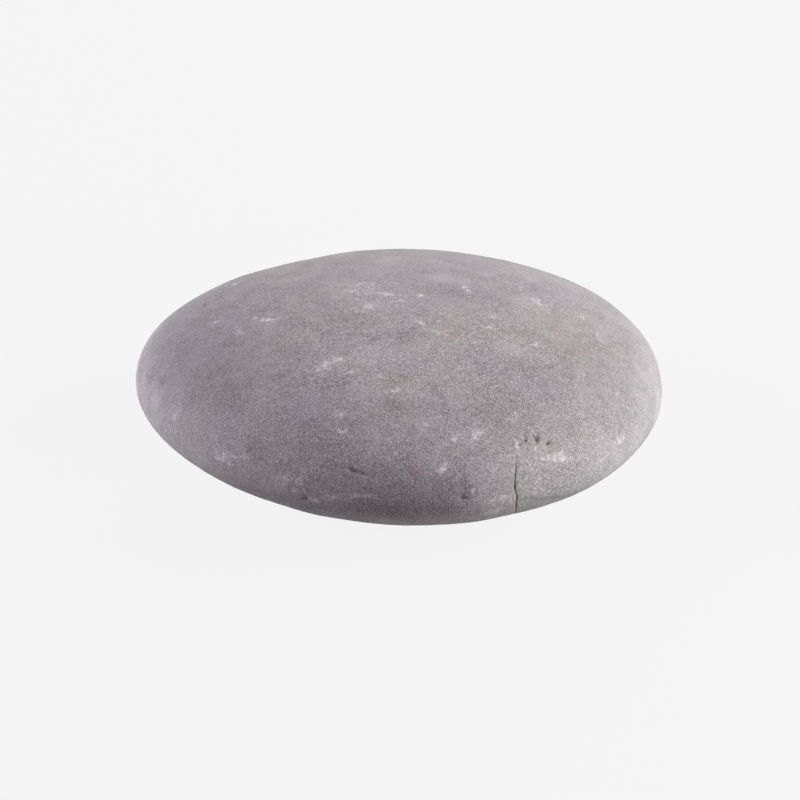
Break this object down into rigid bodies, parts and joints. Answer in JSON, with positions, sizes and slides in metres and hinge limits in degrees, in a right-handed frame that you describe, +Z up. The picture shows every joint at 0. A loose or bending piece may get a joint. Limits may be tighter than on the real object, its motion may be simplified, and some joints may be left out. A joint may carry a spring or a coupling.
{
  "type": "river pebble",
  "caption": "Flat, oval, water-worn river pebble of fine-grained grey stone, with a short crack and a chip scar in its rim; it lies on a small worn flat.",
  "frame": {"origin": "on the resting flat's plane, under the middle of the stone's box", "axes": "+X along the stone's length, +Y across it, away from the cracked side of the rim, +Z up out of the resting flat, which is the stone's thickness"},
  "size_m": [0.0924, 0.076, 0.0324],
  "materials": {
    "stone": "dull, fine-grained and water-worn, with pale scuffs and faint mauve and rusty tints"
  },
  "bodies": {
    "root": {"pebble": "stone"}
  },
  "joints": []
}
